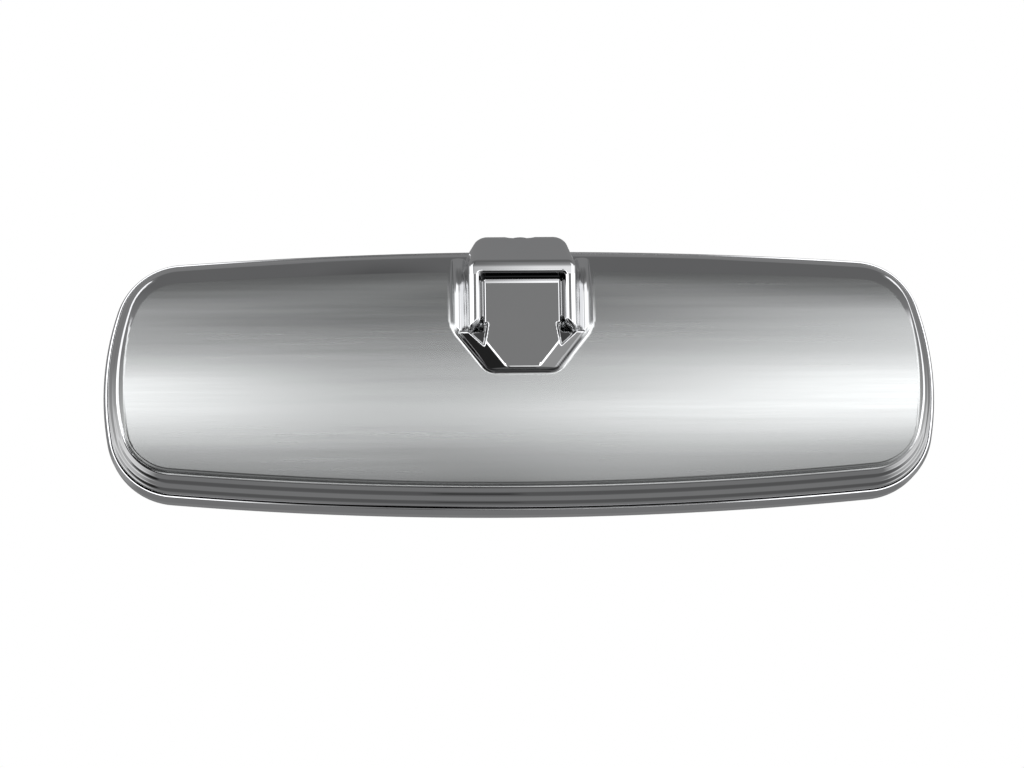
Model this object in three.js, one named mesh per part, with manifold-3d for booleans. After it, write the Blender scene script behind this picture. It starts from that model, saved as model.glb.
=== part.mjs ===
// Interior rearview mirror head for a classic car.
// Millimetres, +Z up, +X to the driver's right, +Y towards the glass, so the bright back faces -Y.
// The origin is the end face of the ball stud, where the arm screws on.
// Inside the head, pieces are drawn in the rim frame: x across, z up from the middle of the glass,
// and h, the height above the rim plane on the bright side, which is -Y.

import * as THREE from 'three';
import { mergeVertices } from 'three/addons/utils/BufferGeometryUtils.js';
import Module from 'manifold-3d';

// Outline of the head: four long arcs joined by corner arcs.
const HALF_WIDTH = 112.8;
const HALF_HEIGHT = 36.4;
const TOP_RADIUS = 1350;
const BOTTOM_RADIUS = 1060;
const SIDE_RADIUS = 75;
const SIDE_CENTRE_Z = -3;
const CORNER_RADIUS = 19;
const ARC_STEPS = 8;

// Sheet metal and fits.
const SHEET = 0.8;
const GAP = 0.3;

// Bezel ring, glass and what lies behind it, as insets from the outline and heights.
const BEZEL_FRONT = -4.2;
const BEZEL_BACK = 5.5;
const BEZEL_WALL = 1.2;
const BEZEL_LIP = 4.2;
const GLASS_THICKNESS = 3;
const GLASS_BACK = 0;
const GASKET_WALL = 0.8;
const GASKET_DEPTH = 2.5;
const BOARD_THICKNESS = 1.6;
const SHELL_EDGE = -0.1;

// Crowned back panel: a cylinder along X.
const CROWN_HEIGHT = 21.5;
const CROWN_Z = -4.5;
const CROWN_RADIUS = 71;

// Boss at the top centre of the back.
const BOSS_TOP_Z = 38;
const BOSS_FOOT = 5.9;
const HOOD_HALF_WIDTH = 15.3;
const BASE_HALF_WIDTH = 18.4;
const PLATE_HALF_WIDTH = 11.2;
const PLATE_TOP_Z = 26.2;
const PLATE_HEIGHT = 23.5;

// Ball joint under the hood of the boss.
const BALL_RADIUS = 5;
const BALL_Z = 26.6;
const BALL_HEIGHT = 12;
const NECK_RADIUS = 2.2;
const SHANK_RADIUS = 2.5;
const SEAT_Z = 37.6;
const PAD_THICKNESS = 1.2;
const PAD_HALF_ANGLE = 48;
const DOME_THICKNESS = 1.2;
const SLOT_HALF_WIDTH = 4.1;
const SLOT_HALF_LENGTH = 4.5;

// Clamp screws, M3 size, two to each side of the ball.
const SCREW_X = 10.3;
const SCREW_ZS = [BALL_Z - 5, BALL_Z + 3];
const SHANK_OF_SCREW = 1.4;
const SCREW_HOLE = 1.75;
const HEAD_RADIUS = 2.2;
const HEAD_HEIGHT = 1.8;
const NUT_RADIUS = 2.9;
const NUT_HEIGHT = 2.2;
const WASHER_HEIGHT = 0.7;

// Stack of the clamp, from the glass side to the back.
const PLATE_GAUGE = 1.2;
const FRONT_PLATE = BALL_HEIGHT - 1.7;
const REAR_PLATE = BALL_HEIGHT + 0.5;
const BRACKET = FRONT_PLATE - GAP - PLATE_GAUGE;
const NUT = BRACKET - GAP - NUT_HEIGHT;
const WASHER = REAR_PLATE + PLATE_GAUGE + GAP;
const HEAD = WASHER + WASHER_HEIGHT + GAP;

const wasm = await Module();
wasm.setup();

// ---- shapes ---------------------------------------------------------------------------------

// A closed geometry as a manifold solid.
function solid(geometry) {
  const bare = geometry.clone();
  bare.deleteAttribute('normal');
  bare.deleteAttribute('uv');
  const welded = mergeVertices(bare, 1e-4);
  return new wasm.Manifold(new wasm.Mesh({
    numProp: 3,
    vertProperties: new Float32Array(welded.attributes.position.array),
    triVerts: new Uint32Array(welded.index.array),
  }));
}

// A manifold solid back as a geometry.
function geometryOf(body) {
  const mesh = body.getMesh();
  const geometry = new THREE.BufferGeometry();
  geometry.setAttribute('position', new THREE.BufferAttribute(mesh.vertProperties, 3));
  geometry.setIndex(new THREE.BufferAttribute(mesh.triVerts, 1));
  geometry.computeVertexNormals();
  return geometry;
}

// Centre of the circle of a corner arc, tangent inside two larger circles.
function cornerCentre(long, side, radius, sign) {
  const a = long.radius - radius;
  const b = side.radius - radius;
  const across = new THREE.Vector2().subVectors(side.centre, long.centre);
  const distance = across.length();
  const along = (a * a - b * b + distance * distance) / (2 * distance);
  const off = Math.sqrt(a * a - along * along);
  const unit = across.divideScalar(distance);
  return new THREE.Vector2(
    long.centre.x + unit.x * along - sign * unit.y * off,
    long.centre.y + unit.y * along + sign * unit.x * off,
  );
}

const angleTo = (from, to) => Math.atan2(to.y - from.y, to.x - from.x);

// The outline of the head, set inwards by an inset, as points in (x, z), anticlockwise.
function outlinePoints(inset) {
  const top = { centre: new THREE.Vector2(0, HALF_HEIGHT - TOP_RADIUS), radius: TOP_RADIUS };
  const bottom = { centre: new THREE.Vector2(0, BOTTOM_RADIUS - HALF_HEIGHT), radius: BOTTOM_RADIUS };
  const side = { centre: new THREE.Vector2(HALF_WIDTH - SIDE_RADIUS, SIDE_CENTRE_Z), radius: SIDE_RADIUS };
  const upper = cornerCentre(top, side, CORNER_RADIUS, -1);
  const lower = cornerCentre(bottom, side, CORNER_RADIUS, 1);
  const arcs = [
    [side, angleTo(side.centre, lower), angleTo(side.centre, upper)],
    [{ centre: upper, radius: CORNER_RADIUS }, angleTo(side.centre, upper), angleTo(top.centre, upper)],
    [top, angleTo(top.centre, upper), Math.PI / 2],
  ];
  const foot = [
    [bottom, -Math.PI / 2, angleTo(bottom.centre, lower)],
    [{ centre: lower, radius: CORNER_RADIUS }, angleTo(bottom.centre, lower), angleTo(side.centre, lower)],
  ];
  const right = [];
  for (const [circle, start, end] of [...foot, ...arcs]) {
    for (let step = 0; step < ARC_STEPS; step += 1) {
      const angle = start + ((end - start) * step) / ARC_STEPS;
      const radius = circle.radius - inset;
      right.push(new THREE.Vector2(
        circle.centre.x + radius * Math.cos(angle),
        circle.centre.y + radius * Math.sin(angle),
      ));
    }
  }
  const crest = new THREE.Vector2(0, HALF_HEIGHT - inset);
  const left = right.slice(1).reverse().map((point) => new THREE.Vector2(-point.x, point.y));
  return [...right, crest, ...left];
}

// Rings of the outline, one for each (inset, height) of a profile, joined by walls.
// A closed profile makes a hoop; an open one, from low to high, is capped at both ends.
function loft(profile, closed) {
  const rings = profile.map(([inset]) => outlinePoints(inset));
  const count = rings[0].length;
  const positions = [];
  rings.forEach((ring, level) => {
    for (const point of ring) {
      positions.push(point.x, -profile[level][1], point.y);
    }
  });
  const index = [];
  const spans = closed ? rings.length : rings.length - 1;
  for (let level = 0; level < spans; level += 1) {
    const low = level * count;
    const high = ((level + 1) % rings.length) * count;
    for (let place = 0; place < count; place += 1) {
      const next = (place + 1) % count;
      index.push(low + place, high + next, low + next);
      index.push(low + place, high + place, high + next);
    }
  }
  if (!closed) {
    const bottom = positions.length / 3;
    const top = bottom + 1;
    positions.push(0, -profile[0][1], 0);
    positions.push(0, -profile.at(-1)[1], 0);
    const last = (rings.length - 1) * count;
    for (let place = 0; place < count; place += 1) {
      const next = (place + 1) % count;
      index.push(bottom, place, next);
      index.push(top, last + next, last + place);
    }
  }
  const geometry = new THREE.BufferGeometry();
  geometry.setAttribute('position', new THREE.Float32BufferAttribute(positions, 3));
  geometry.setIndex(index.reverse());
  return geometry;
}

// An outline in (x, z), extruded between two heights.
function raised(points, low, high) {
  const shape = new THREE.Shape(points.map(([x, z]) => new THREE.Vector2(x, z)));
  const geometry = new THREE.ExtrudeGeometry(shape, { depth: high - low, bevelEnabled: false });
  return geometry.translate(0, 0, low).rotateX(Math.PI / 2);
}

// A profile in (z, h), extruded along X across a half width to each side.
function swept(points, halfWidth) {
  const shape = new THREE.Shape(points.map(([z, h]) => new THREE.Vector2(-h, z)));
  const geometry = new THREE.ExtrudeGeometry(shape, { depth: 2 * halfWidth, bevelEnabled: false });
  return geometry.translate(0, 0, -halfWidth).applyMatrix4(new THREE.Matrix4().set(
    0, 0, 1, 0,
    1, 0, 0, 0,
    0, 1, 0, 0,
    0, 0, 0, 1,
  ));
}

// A box between two corners given as (x, h, z).
function block(low, high) {
  const [x0, h0, z0] = low;
  const [x1, h1, z1] = high;
  const geometry = new THREE.BoxGeometry(x1 - x0, h1 - h0, z1 - z0);
  return geometry.translate((x0 + x1) / 2, -(h0 + h1) / 2, (z0 + z1) / 2);
}

// A round bar along the height axis.
function bar(x, z, radius, low, high, sides = 20) {
  const geometry = new THREE.CylinderGeometry(radius, radius, high - low, sides);
  return geometry.translate(x, -(low + high) / 2, z);
}

// A ring along the height axis.
function washer(x, z, inner, outer, low, high, sides = 20) {
  return geometryOf(solid(bar(x, z, outer, low, high, sides))
    .subtract(solid(bar(x, z, inner, low - 1, high + 1))));
}

function ballAt(radius, around, rings) {
  return new THREE.SphereGeometry(radius, around, rings).translate(0, -BALL_HEIGHT, BALL_Z);
}

// Points of an arc about the lathe axis, from one angle off the axis to another, in degrees.
function arc(radius, from, to, steps) {
  return Array.from({ length: steps + 1 }, (_, step) => {
    const angle = THREE.MathUtils.degToRad(from + ((to - from) * step) / steps);
    return new THREE.Vector2(radius * Math.sin(angle), radius * Math.cos(angle));
  });
}

const finish = (color, roughness, metalness) => (
  new THREE.MeshStandardMaterial({ color, roughness, metalness })
);

const polishedSteel = finish(0xc9cccf, 0.12, 1);
const platedSteel = finish(0xb4b8bd, 0.35, 1);
const zincSteel = finish(0xa9a89a, 0.45, 1);
const silveredGlass = finish(0xdfe6ea, 0.03, 1);
const blackRubber = finish(0x1b1b1c, 0.8, 0);
const fibreBoard = finish(0x5b4733, 0.9, 0);
const greyFoam = finish(0x4a4c50, 0.95, 0);
const nylon = finish(0xd8d2c2, 0.55, 0);

const object = new THREE.Group();
const head = new THREE.Group();
head.position.set(0, BALL_HEIGHT, -SEAT_Z);
object.add(head);

function piece(name, geometry, material, parent = head) {
  const mesh = new THREE.Mesh(geometry, material);
  mesh.name = name;
  parent.add(mesh);
  return mesh;
}

// ---- back shell -----------------------------------------------------------------------------

// Stepped pan under the crowned panel, shrunk by the sheet thickness for its inside.
function pan(shrink) {
  const steps = [
    [1.6, shrink > 0 ? -2 : SHELL_EDGE],
    [1.7, 8.9],
    [2.2, 9.7],
    [3.2, 10.1],
    [3.4, 11.7],
    [3.9, 12.4],
    [4.6, 12.7],
    [4.9, 15.5],
    [6.4, 24],
  ];
  const profile = steps.map(([inset, height], place) => [inset + shrink, place ? height - shrink : height]);
  const radius = CROWN_RADIUS - shrink;
  const axis = CROWN_HEIGHT - CROWN_RADIUS;
  const crown = new THREE.CylinderGeometry(radius, radius, 2.2 * HALF_WIDTH, 144);
  crown.rotateZ(Math.PI / 2).translate(0, -axis, CROWN_Z);
  return solid(loft(profile, false)).intersect(solid(crown));
}

// Boss: hood with two legs, the flat plate between them, and the flared base around both.
function boss(shrink) {
  const top = BOSS_TOP_Z - shrink;
  const low = BOSS_FOOT + shrink;
  const hood = swept([
    [top, low],
    [top, 16.6 - shrink / 2],
    [37.3 - shrink, 17.8 - shrink],
    [29.3 - shrink / 2, 27.2 - shrink],
    [27.8, 28.1 - shrink],
    [26.4, 27.6 - shrink],
    [11, 24.6 - shrink],
    [8.5 + shrink, 22.6 - shrink],
    [6 + shrink, 16],
    [6 + shrink, low],
  ], HOOD_HALF_WIDTH - shrink);
  const plateWidth = PLATE_HALF_WIDTH - shrink;
  const plate = raised([
    [plateWidth, 28],
    [-plateWidth, 28],
    [-plateWidth, 12],
    [2 + shrink - PLATE_HALF_WIDTH, 8],
    [2.3 + shrink - PLATE_HALF_WIDTH, 2.6],
    [3.6 + shrink - PLATE_HALF_WIDTH, 0.3 + shrink],
    [PLATE_HALF_WIDTH - 3.6 - shrink, 0.3 + shrink],
    [PLATE_HALF_WIDTH - 2.3 - shrink, 2.6],
    [PLATE_HALF_WIDTH - 2 - shrink, 8],
    [plateWidth, 12],
  ], low, PLATE_HEIGHT - shrink);
  const baseWidth = BASE_HALF_WIDTH - shrink;
  const baseOutline = raised([
    [baseWidth, 36],
    [-baseWidth, 36],
    [-baseWidth, 13],
    [-9 + shrink, -0.6 + shrink],
    [9 - shrink, -0.6 + shrink],
    [baseWidth, 13],
  ], low, 30);
  const baseTop = swept([
    [36.6 - shrink, low],
    [36.6 - shrink, 13.5 - shrink],
    [30, 17.2 - shrink],
    [14, 21.2 - shrink],
    [-2, 21.9 - shrink],
    [-2, low],
  ], BASE_HALF_WIDTH + 1);
  const recessWidth = PLATE_HALF_WIDTH + shrink;
  const recess = raised([
    [recessWidth, PLATE_TOP_Z + shrink],
    [-recessWidth, PLATE_TOP_Z + shrink],
    [-recessWidth, -4],
    [recessWidth, -4],
  ], PLATE_HEIGHT - shrink, 40);
  const base = solid(baseOutline).intersect(solid(baseTop));
  return solid(hood).add(solid(plate)).add(base).subtract(solid(recess));
}

function backShell() {
  const slot = block(
    [-SLOT_HALF_WIDTH, BALL_HEIGHT - SLOT_HALF_LENGTH, 35.4],
    [SLOT_HALF_WIDTH, BALL_HEIGHT + SLOT_HALF_LENGTH, 40],
  );
  const outside = pan(0).add(boss(0));
  const inside = pan(SHEET).add(boss(SHEET));
  return geometryOf(outside.subtract(inside).subtract(solid(slot)));
}

piece('back_shell', backShell(), polishedSteel);

// ---- bezel, glass, gasket, board, foam ------------------------------------------------------

piece('bezel_frame', loft([
  [0.5, BEZEL_FRONT],
  [0, BEZEL_FRONT + 0.6],
  [0, BEZEL_BACK - 1],
  [0.4, BEZEL_BACK - 0.2],
  [BEZEL_WALL, BEZEL_BACK],
  [BEZEL_WALL, BEZEL_FRONT + 0.9],
  [BEZEL_LIP, BEZEL_FRONT + 0.9],
  [BEZEL_LIP, BEZEL_FRONT + 0.2],
  [BEZEL_LIP - 0.4, BEZEL_FRONT],
], true), polishedSteel);

const gasketOuter = BEZEL_WALL + GAP;
const gasketInner = gasketOuter + GASKET_WALL;
const glassFront = GLASS_BACK - GLASS_THICKNESS;
piece('glass_gasket', loft([
  [gasketOuter, glassFront],
  [gasketOuter, glassFront + GASKET_DEPTH],
  [gasketInner, glassFront + GASKET_DEPTH],
  [gasketInner, glassFront],
], true), blackRubber);

const glassInset = gasketInner + GAP;
piece('mirror_glass', loft([
  [glassInset + 0.4, glassFront],
  [glassInset, glassFront + 0.4],
  [glassInset, GLASS_BACK],
], false), silveredGlass);

const boardInset = 1.7 + SHEET + GAP;
const boardBack = GLASS_BACK + GAP + BOARD_THICKNESS;
piece('backing_board', loft([
  [boardInset, GLASS_BACK + GAP],
  [boardInset, boardBack],
], false), fibreBoard);

const FOAM = { inner: 46, outer: 96, low: -18, high: 9, top: 16.6 };
for (const [side, sign] of [['left', -1], ['right', 1]]) {
  const xs = [sign * FOAM.inner, sign * FOAM.outer].sort((a, b) => a - b);
  const pad = block([xs[0], boardBack + GAP, FOAM.low], [xs[1], FOAM.top, FOAM.high]);
  piece(`foam_pad_${side}`, pad, greyFoam);
}

// Spring clips: each is an L of strip that stands on the board along the wall of the shell.
const CLIP = { width: 9, gauge: 0.6, foot: 6, leg: 5.2, xs: [-72, 0, 72] };

function clip(x, longRadius, sign) {
  const wallZ = HALF_HEIGHT - boardInset - GAP;
  const strip = swept([
    [wallZ, boardBack + GAP],
    [wallZ, boardBack + GAP + CLIP.leg],
    [wallZ - CLIP.gauge, boardBack + GAP + CLIP.leg],
    [wallZ - CLIP.gauge, boardBack + GAP + CLIP.gauge],
    [wallZ - CLIP.foot, boardBack + GAP + CLIP.gauge],
    [wallZ - CLIP.foot, boardBack + GAP],
  ], CLIP.width / 2);
  const lean = Math.asin(x / (longRadius - boardInset));
  strip.translate(0, 0, longRadius - HALF_HEIGHT).rotateY(lean).translate(0, 0, HALF_HEIGHT - longRadius);
  return sign > 0 ? strip : strip.rotateY(Math.PI);
}

CLIP.xs.forEach((x, place) => {
  const topX = x === 0 ? 26 : x;
  piece(`bezel_clip_${place + 1}`, clip(topX, TOP_RADIUS, 1), platedSteel);
  piece(`bezel_clip_${place + 4}`, clip(x, BOTTOM_RADIUS, -1), platedSteel);
});

// ---- carrier bracket and ball socket --------------------------------------------------------

const screwPlaces = [-SCREW_X, SCREW_X].flatMap((x) => SCREW_ZS.map((z) => [x, z]));

function withScrewHoles(body) {
  return screwPlaces.reduce(
    (rest, [x, z]) => rest.subtract(solid(bar(x, z, SCREW_HOLE, 0, 30))),
    body,
  );
}

const SOCKET_INNER = BALL_RADIUS + GAP + PAD_THICKNESS + GAP;
const SOCKET_OUTER = SOCKET_INNER + DOME_THICKNESS;
const FLANGE_HALF_WIDTH = 13;
const FLANGE_LOW_Z = BALL_Z - 8.5;
const FLANGE_TOP_Z = BALL_Z + 6.2;
const CAP_NOTCH_HALF_WIDTH = 7.2;

function carrierBracket() {
  const plate = raised([
    [FLANGE_HALF_WIDTH + 1, 8],
    [FLANGE_HALF_WIDTH + 1, 32],
    [-FLANGE_HALF_WIDTH - 1, 32],
    [-FLANGE_HALF_WIDTH - 1, 8],
  ], BRACKET, BRACKET + PLATE_GAUGE);
  const footTop = 16.8;
  const footLow = footTop - PLATE_GAUGE;
  const riser = 30;
  const tip = 42;
  const arms = raised([
    [-tip, -footTop],
    [-tip, -footLow],
    [-riser - PLATE_GAUGE, -footLow],
    [-riser - PLATE_GAUGE, -BRACKET],
    [riser + PLATE_GAUGE, -BRACKET],
    [riser + PLATE_GAUGE, -footLow],
    [tip, -footLow],
    [tip, -footTop],
    [riser, -footTop],
    [riser, -BRACKET - PLATE_GAUGE],
    [-riser, -BRACKET - PLATE_GAUGE],
    [-riser, -footTop],
  ], 0, 9).rotateX(-Math.PI / 2).translate(0, 0, 8);
  const window = bar(0, BALL_Z, SOCKET_OUTER + 0.4, 0, 30, 40);
  const mouth = block([-CAP_NOTCH_HALF_WIDTH, 0, BALL_Z], [CAP_NOTCH_HALF_WIDTH, 30, 40]);
  const body = solid(plate).add(solid(arms)).subtract(solid(window)).subtract(solid(mouth));
  return geometryOf(withScrewHoles(body));
}

piece('carrier_bracket', carrierBracket(), zincSteel);

// A pressed plate: a flange with a dome over one side of the ball.
function socketPlate(flangeLow, domeLow, domeHigh) {
  const flange = raised([
    [FLANGE_HALF_WIDTH, FLANGE_LOW_Z],
    [FLANGE_HALF_WIDTH, FLANGE_TOP_Z],
    [-FLANGE_HALF_WIDTH, FLANGE_TOP_Z],
    [-FLANGE_HALF_WIDTH, FLANGE_LOW_Z],
  ], flangeLow, flangeLow + PLATE_GAUGE);
  const capNotch = block(
    [-CAP_NOTCH_HALF_WIDTH, 0, BALL_Z + 4.4],
    [CAP_NOTCH_HALF_WIDTH, 30, 40],
  );
  const half = block([-10, domeLow, BALL_Z - 10], [10, domeHigh, BALL_Z + 10]);
  const neckNotch = block(
    [-SLOT_HALF_WIDTH, BALL_HEIGHT - SLOT_HALF_LENGTH, BALL_Z + 1],
    [SLOT_HALF_WIDTH, BALL_HEIGHT + SLOT_HALF_LENGTH, 40],
  );
  const dome = solid(ballAt(SOCKET_OUTER, 28, 16)).intersect(solid(half));
  const body = solid(flange).subtract(solid(capNotch)).add(dome)
    .subtract(solid(ballAt(SOCKET_INNER, 28, 16)))
    .subtract(solid(neckNotch));
  return geometryOf(withScrewHoles(body));
}

piece('socket_plate_rear', socketPlate(REAR_PLATE, REAR_PLATE, 30), zincSteel);
piece('socket_plate_front', socketPlate(FRONT_PLATE, 0, FRONT_PLATE + PLATE_GAUGE), zincSteel);

screwPlaces.forEach(([x, z], place) => {
  const number = place + 1;
  const shank = solid(bar(x, z, SHANK_OF_SCREW, NUT - 0.6, HEAD + 0.2, 16));
  const cap = solid(bar(x, z, HEAD_RADIUS, HEAD, HEAD + HEAD_HEIGHT, 24));
  const drive = block(
    [x - HEAD_RADIUS - 1, HEAD + HEAD_HEIGHT - 0.8, z - 0.3],
    [x + HEAD_RADIUS + 1, HEAD + HEAD_HEIGHT + 1, z + 0.3],
  );
  piece(`clamp_screw_${number}`, geometryOf(shank.add(cap).subtract(solid(drive))), platedSteel);
  piece(`clamp_nut_${number}`, washer(x, z, SCREW_HOLE, NUT_RADIUS, NUT, NUT + NUT_HEIGHT, 6), platedSteel);
  piece(`spring_washer_${number}`, washer(x, z, SCREW_HOLE, 2.7, WASHER, WASHER + WASHER_HEIGHT), platedSteel);
});

// ---- ball, pads, dust cap -------------------------------------------------------------------

const ballJoint = new THREE.Group();
ballJoint.position.set(0, 0, BALL_Z - SEAT_Z);
object.add(ballJoint);

// A friction pad: a cap of a hollow sphere that faces one side of the ball.
function frictionPad() {
  const inner = BALL_RADIUS + GAP;
  const outer = inner + PAD_THICKNESS;
  const profile = [
    ...arc(inner, 0, PAD_HALF_ANGLE, 6),
    ...arc(outer, PAD_HALF_ANGLE, 0, 6),
  ];
  return new THREE.LatheGeometry(profile, 24);
}

piece('pressure_pad_rear', frictionPad().rotateX(Math.PI), nylon, ballJoint);
piece('pressure_pad_front', frictionPad(), nylon, ballJoint);

const neckAngle = THREE.MathUtils.radToDeg(Math.asin(NECK_RADIUS / BALL_RADIUS));
const endHeight = SEAT_Z - BALL_Z;
const studProfile = [
  ...arc(BALL_RADIUS, 180, neckAngle, 11),
  new THREE.Vector2(NECK_RADIUS, 6.2),
  new THREE.Vector2(SHANK_RADIUS, 6.6),
  new THREE.Vector2(SHANK_RADIUS, endHeight - 0.3),
  new THREE.Vector2(SHANK_RADIUS - 0.3, endHeight),
  new THREE.Vector2(0, endHeight),
];
piece('ball_stud', new THREE.LatheGeometry(studProfile, 24).rotateX(Math.PI / 2), platedSteel, ballJoint);

const DUST_CAP = { inner: 8.3, outer: 8.9, halfAngle: 34, hole: SHANK_RADIUS + GAP };
const boreAngle = THREE.MathUtils.radToDeg(Math.asin(DUST_CAP.hole / DUST_CAP.inner));
const capProfile = [
  ...arc(DUST_CAP.inner, boreAngle, DUST_CAP.halfAngle, 4),
  ...arc(DUST_CAP.outer, DUST_CAP.halfAngle, boreAngle, 4),
];
capProfile.push(capProfile[0].clone());
piece('dust_cap', new THREE.LatheGeometry(capProfile, 24).rotateX(Math.PI / 2), blackRubber, ballJoint);

export default object;
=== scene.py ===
import math

import bmesh
import bpy
import numpy as np
from mathutils import Matrix, Vector
from mathutils.geometry import delaunay_2d_cdt


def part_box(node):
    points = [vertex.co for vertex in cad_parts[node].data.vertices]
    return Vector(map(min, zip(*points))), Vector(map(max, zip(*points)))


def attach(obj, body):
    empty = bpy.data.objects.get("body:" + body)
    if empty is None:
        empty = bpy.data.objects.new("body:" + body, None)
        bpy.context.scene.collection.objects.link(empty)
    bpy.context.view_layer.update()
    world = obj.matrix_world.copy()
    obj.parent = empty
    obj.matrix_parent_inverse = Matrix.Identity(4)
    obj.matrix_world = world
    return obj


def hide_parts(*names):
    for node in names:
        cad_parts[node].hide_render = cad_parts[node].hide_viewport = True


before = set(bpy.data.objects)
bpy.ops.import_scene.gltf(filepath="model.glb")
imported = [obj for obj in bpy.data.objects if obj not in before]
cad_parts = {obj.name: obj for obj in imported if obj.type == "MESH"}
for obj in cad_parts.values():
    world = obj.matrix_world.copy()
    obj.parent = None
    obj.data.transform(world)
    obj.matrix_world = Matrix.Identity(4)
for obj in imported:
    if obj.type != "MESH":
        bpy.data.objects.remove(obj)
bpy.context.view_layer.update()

# ---- back shell -----------------------------------------------------------------------------------
# The bright back is one pressing of thin stainless sheet. Its rim is drawn in steps, its middle is a
# crowned panel brushed along its length, and the boss at the top, with its hood and flat plate, is
# polished like the rim. Its skirt sits inside the bezel, and the stud leaves through a slot.

# The back is worked out in millimetres, as (x, z, h): x and z from the head's middle, and the height h
# above the back of the glass, which lies at RIM_Y. An inset is a distance inwards from the outline.
MM = 0.001
BEZEL_FRONT = -4.2
SHELL_SHEET = 0.8
bezel_low, bezel_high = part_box("bezel_frame")
HALF_WIDTH = (bezel_high[0] - bezel_low[0]) / MM / 2
HALF_HEIGHT = (bezel_high[2] - bezel_low[2]) / MM / 2
RIM_Y = bezel_high[1] + BEZEL_FRONT * MM
MIDDLE_Z = (bezel_high[2] + bezel_low[2]) / 2

TOP_RADIUS = 1350.0
BOTTOM_RADIUS = 1060.0
SIDE_RADIUS = 75.0
SIDE_Z = -3.0
CORNER_RADIUS = 19.0

# The outline: arcs as centre x, centre z and radius, and corner arcs that run into them.
TOP = (0.0, HALF_HEIGHT - TOP_RADIUS, TOP_RADIUS)
BOTTOM = (0.0, BOTTOM_RADIUS - HALF_HEIGHT, BOTTOM_RADIUS)
SIDE = (HALF_WIDTH - SIDE_RADIUS, SIDE_Z, SIDE_RADIUS)


def corner_between(long_arc, side_arc, sign):
    """The corner arc that touches two arcs from inside, and the angles that it starts and ends at."""
    long_reach = long_arc[2] - CORNER_RADIUS
    side_reach = side_arc[2] - CORNER_RADIUS
    across = np.array([side_arc[0] - long_arc[0], side_arc[1] - long_arc[1]])
    distance = np.hypot(*across)
    along = (long_reach**2 - side_reach**2 + distance**2) / (2 * distance)
    off = math.sqrt(long_reach**2 - along**2)
    unit = across / distance
    x = long_arc[0] + unit[0] * along + sign * unit[1] * off
    z = long_arc[1] + unit[1] * along - sign * unit[0] * off
    from_side = math.atan2(z - side_arc[1], x - side_arc[0])
    from_long = math.atan2(z - long_arc[1], x - long_arc[0])
    return (x, z, CORNER_RADIUS), from_side, from_long


UPPER, UPPER_START, UPPER_END = corner_between(TOP, SIDE, 1)
LOWER, LOWER_END, LOWER_START = corner_between(BOTTOM, SIDE, -1)


def inset_of(x, z):
    """How far a point lies inside the outline, in millimetres."""
    across = np.abs(x)
    depths = [arc[2] - np.hypot(across - arc[0], z - arc[1]) for arc in (TOP, BOTTOM, SIDE)]
    depth = np.minimum(np.minimum(depths[0], depths[1]), depths[2])
    for arc, start, end in ((UPPER, UPPER_START, UPPER_END), (LOWER, LOWER_START, LOWER_END)):
        angle = np.arctan2(z - arc[1], across - arc[0])
        inside = (angle > start) & (angle < end)
        depth = np.where(inside, arc[2] - np.hypot(across - arc[0], z - arc[1]), depth)
    return depth


def round_max(a, b, radius):
    """Where two solids meet, with the edge rounded."""
    reach = np.hypot(np.maximum(a + radius, 0), np.maximum(b + radius, 0))
    return np.minimum(-radius, np.maximum(a, b)) + reach


def round_min(a, b, radius):
    """Two solids joined, with a fillet between them."""
    reach = np.hypot(np.maximum(radius - a, 0), np.maximum(radius - b, 0))
    return np.maximum(radius, np.minimum(a, b)) - reach


def share(value, start, end):
    """0 up to start, 1 past end, and a straight change between."""
    return np.clip((value - start) / (end - start), 0.0, 1.0)


# The rim's three steps: where the wall of each begins and ends, as (inset, height). Towards the bottom
# the third step lies farther in, by LOWER_INSET, and the second by half as much.
SKIRT_ROOT = (1.5, 6.5)
FIRST_EDGE = (1.9, 8.0)
SECOND_ROOT = (2.15, 8.2)
SECOND_EDGE = (3.15, 11.4)
THIRD_ROOT = (3.4, 11.6)
THIRD_EDGE = (5.1, 14.5)
LOWER_INSET = 1.0
CROWN_TOP = 21.5
CROWN_Z = -4.5
CROWN_RADIUS = 71.0


def slant(inset, h, through, tilt):
    """A face of the rim through a point (inset, h), tilted outwards from facing front, in degrees."""
    out = math.sin(math.radians(tilt))
    front = math.cos(math.radians(tilt))
    return front * (h - through[1]) - out * (inset - through[0])


def pan(x, z, h):
    """Stepped rim and crowned panel, below 0 inside the metal's outer face."""
    inset = inset_of(x, z)
    upper = inset - LOWER_INSET * share(z, -8.0, -28.0)
    middle = 0.5 * (inset + upper)
    skirt = round_max(slant(inset, h, SKIRT_ROOT, 88), slant(inset, h, FIRST_EDGE, 70), 0.3)
    first = round_max(skirt, slant(inset, h, FIRST_EDGE, 40), 0.2)
    second = round_max(slant(middle, h, SECOND_ROOT, 73), slant(middle, h, SECOND_EDGE, 40), 0.2)
    third = round_max(slant(upper, h, THIRD_ROOT, 70), slant(upper, h, THIRD_EDGE, 7), 0.25)
    wall = slant(upper, h, THIRD_EDGE, 85)
    steps = round_min(round_min(round_min(first, second, 0.12), third, 0.12), wall, 0.15)
    steps = round_max(steps, skirt, 0.1)
    crown = np.hypot(z - CROWN_Z, h - CROWN_TOP + CROWN_RADIUS) - CROWN_RADIUS
    return round_max(steps, crown, 0.4)


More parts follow.
